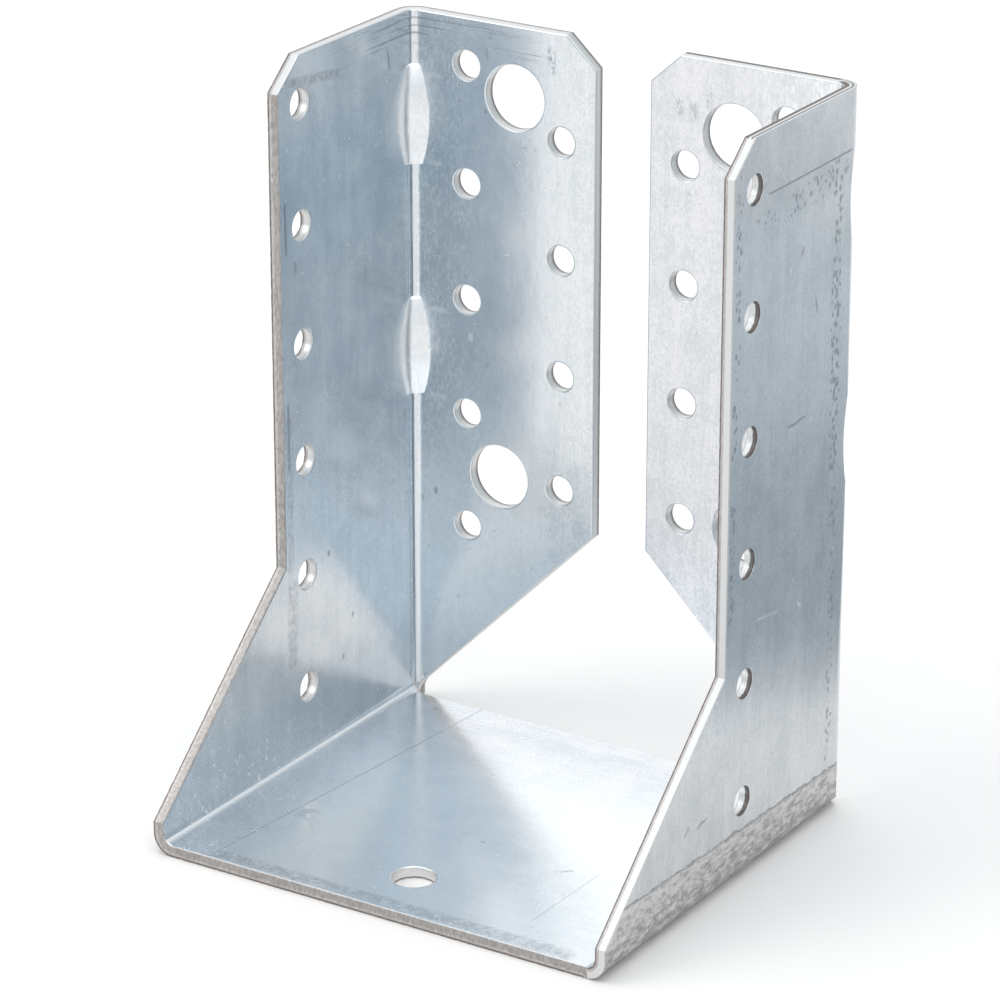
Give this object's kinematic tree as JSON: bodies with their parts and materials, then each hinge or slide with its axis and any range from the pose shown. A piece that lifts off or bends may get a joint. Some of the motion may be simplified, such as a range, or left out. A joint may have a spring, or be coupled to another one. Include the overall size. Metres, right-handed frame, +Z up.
{
  "type": "joist hanger",
  "caption": "Folded galvanised steel joist hanger with inward flanges: a U-shaped cradle that fixes the end of a timber joist to a header beam or wall.",
  "frame": {"origin": "on the ground under the middle of the seat: the centre of the underside of the box around the part", "axes": "+Z up along the walls, +Y from the open front towards the header, +X across the joist, to the right as seen from the open front"},
  "size_m": [0.084, 0.075, 0.122],
  "materials": {
    "zinc_coated_steel": "rolled and hot-dip galvanised sheet, satin, with sheared edges"
  },
  "bodies": {
    "root": {"joist_hanger": "zinc_coated_steel"}
  },
  "joints": []
}
